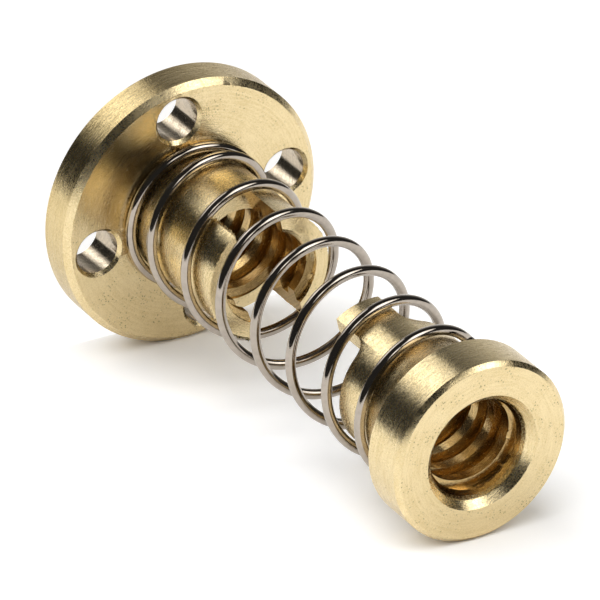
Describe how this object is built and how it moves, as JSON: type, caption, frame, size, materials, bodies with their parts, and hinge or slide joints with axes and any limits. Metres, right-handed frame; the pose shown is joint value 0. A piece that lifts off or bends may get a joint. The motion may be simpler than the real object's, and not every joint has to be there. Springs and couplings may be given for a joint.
{
  "type": "anti-backlash lead screw nut",
  "caption": "Round flanged brass nut with a cross-slotted hub, a compression spring and a smaller headed preload nut with tangs, all on one lead screw axis.",
  "frame": {"origin": "centre of the screw bore on the flange's back face", "axes": "+Z along the screw bore, from the flange towards the preload nut"},
  "size_m": [0.022, 0.022, 0.0443],
  "materials": {
    "turned_brass": "turned, satin faces and polished edges",
    "spring_steel": "bright drawn wire, nickel plated"
  },
  "bodies": {
    "flange_nut": {"flange_nut": "turned_brass", "spring": "spring_steel"},
    "preload_nut": {"preload_nut": "turned_brass"}
  },
  "joints": [
    {"name": "preload_slide", "type": "slide", "parent": "flange_nut", "child": "preload_nut", "axis": [0, 0, 1], "range_m": [-0.0175, 0], "stiffness_N_per_m": 400, "springref_m": 0.0005, "deforming": ["spring"]}
  ]
}
